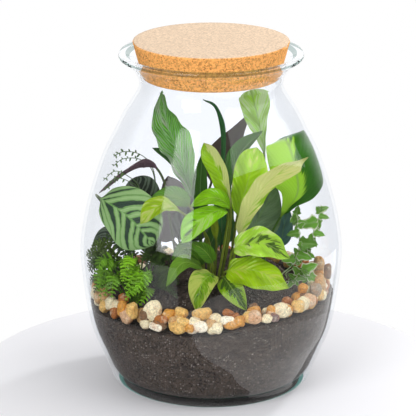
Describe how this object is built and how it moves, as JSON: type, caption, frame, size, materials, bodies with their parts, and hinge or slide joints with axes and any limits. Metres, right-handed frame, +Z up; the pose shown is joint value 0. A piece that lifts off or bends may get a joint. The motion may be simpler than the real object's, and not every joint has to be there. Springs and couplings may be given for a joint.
{
  "type": "plant terrarium",
  "caption": "Closed terrarium: round-bellied glass jar with a flared lip and a tapered cork lid, holding dark soil, a pebble edge and mixed foliage plants.",
  "frame": {"origin": "middle of the jar's flat base, on the surface it stands on", "axes": "+Z up along the jar's axis, -Y is the front as seen in the picture"},
  "size_m": [0.221, 0.221, 0.2963],
  "materials": {
    "glass": "clear",
    "cork": "matt pressed cork",
    "soil": "matt, crumbly",
    "gravel": "worn pebbles",
    "stone_cream": "worn smooth",
    "stone_tan": "worn smooth",
    "stone_yellow": "worn smooth",
    "stone_pink": "worn smooth",
    "stone_grey": "worn smooth",
    "stone_brown": "worn smooth",
    "lime_leaf": "waxy",
    "lily_leaf": "waxy",
    "striped_leaf": "satin",
    "fern": "matt",
    "ivy": "satin",
    "creeper": "matt"
  },
  "bodies": {
    "root": {"cork_lid": "cork", "creeper_spray_1": "creeper", "creeper_spray_2": "creeper", "fern_frond_1": "fern", "fern_frond_2": "fern", "fern_frond_3": "fern", "fern_frond_4": "fern", "fern_frond_5": "fern", "fern_frond_6": "fern", "fern_frond_7": "fern", "fern_frond_8": "fern", "glass_jar": "glass", "gravel_ring": "gravel", "ivy_spray_1": "ivy", "ivy_spray_2": "ivy", "ivy_spray_3": "ivy", "lily_leaf_01": "lily_leaf", "lily_leaf_02": "lily_leaf", "lily_leaf_03": "lily_leaf", "lily_leaf_04": "lily_leaf", "lily_leaf_05": "lily_leaf", "lily_leaf_06": "lily_leaf", "lily_leaf_07": "lily_leaf", "lily_leaf_08": "lily_leaf", "lily_leaf_09": "lily_leaf", "lime_leaf_01": "lime_leaf", "lime_leaf_02": "lime_leaf", "lime_leaf_03": "lime_leaf", "lime_leaf_04": "lime_leaf", "lime_leaf_05": "lime_leaf", "lime_leaf_06": "lime_leaf", "lime_leaf_07": "lime_leaf", "lime_leaf_08": "lime_leaf", "lime_leaf_09": "lime_leaf", "lime_leaf_10": "lime_leaf", "lime_leaf_11": "lime_leaf", "lime_leaf_12": "lime_leaf", "lime_leaf_13": "lime_leaf", "lime_leaf_14": "lime_leaf", "lime_leaf_15": "lime_leaf", "lime_leaf_16": "lime_leaf", "soil": "soil", "stone_01": "stone_cream", "stone_02": "stone_cream", "stone_03": "stone_tan", "stone_04": "stone_yellow", "stone_05": "stone_pink", "stone_06": "stone_cream", "stone_07": "stone_yellow", "stone_08": "stone_pink", "stone_09": "stone_grey", "stone_10": "stone_tan", "stone_11": "stone_brown", "striped_leaf_01": "striped_leaf", "striped_leaf_02": "striped_leaf", "striped_leaf_03": "striped_leaf", "striped_leaf_04": "striped_leaf", "striped_leaf_05": "striped_leaf", "striped_leaf_06": "striped_leaf", "striped_leaf_07": "striped_leaf"}
  },
  "joints": []
}
